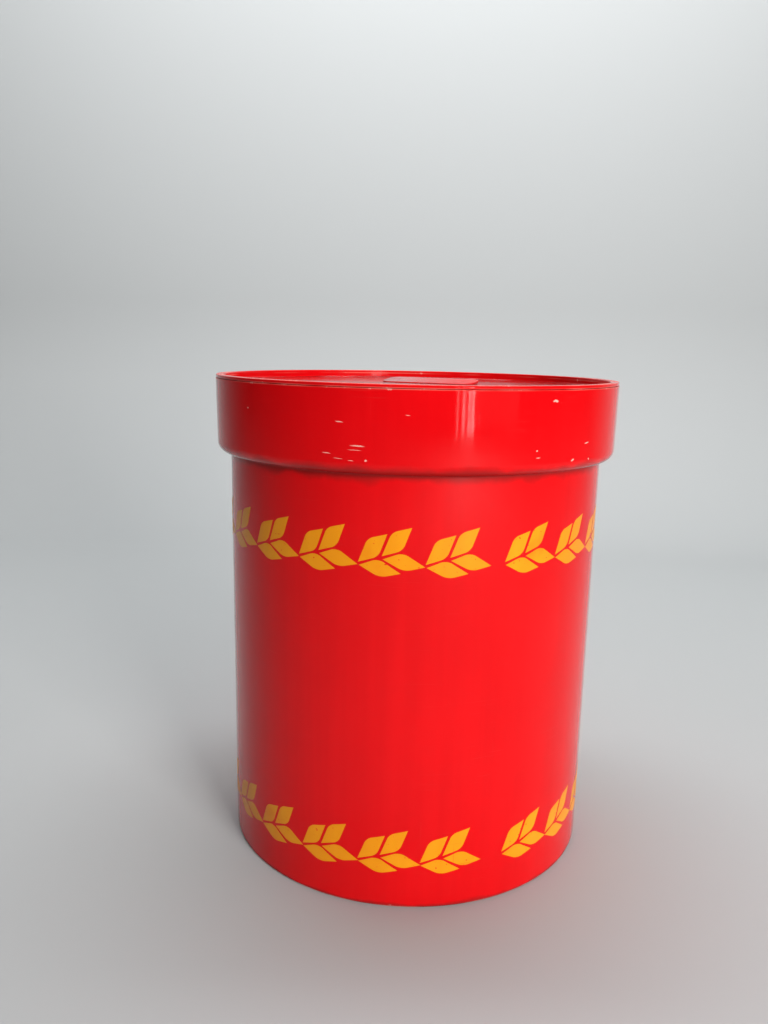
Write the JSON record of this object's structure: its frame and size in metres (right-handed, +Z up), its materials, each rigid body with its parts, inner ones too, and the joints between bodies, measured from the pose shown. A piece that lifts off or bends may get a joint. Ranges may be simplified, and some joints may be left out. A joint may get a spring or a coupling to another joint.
{
  "type": "bread bin with lift-out lid",
  "caption": "Upright round plastic bread bin: a thin-walled pot with a wide collar, and a lid that drops inside the collar with a low finger grip.",
  "frame": {"origin": "on the surface that the bin stands on, under the middle of the pot", "axes": "+Z up along the bin's axis, -Y towards the front as pictured, +X to the right seen from the front"},
  "size_m": [0.2546, 0.2546, 0.3],
  "materials": {
    "pot_red": "glossy moulded plastic, scratched by use",
    "lid_red": "glossy moulded plastic, worn at the lip",
    "grip_red": "satin moulded plastic",
    "leaf_ink": "printed orange-yellow ink film"
  },
  "bodies": {
    "bin": {"body": "pot_red"},
    "lid": {"lid": "lid_red", "lid_grip": "grip_red"}
  },
  "joints": [
    {"name": "lid_lift", "type": "slide", "parent": "bin", "child": "lid", "axis": [0, 0, 1], "range_m": [0, 0.25]}
  ]
}
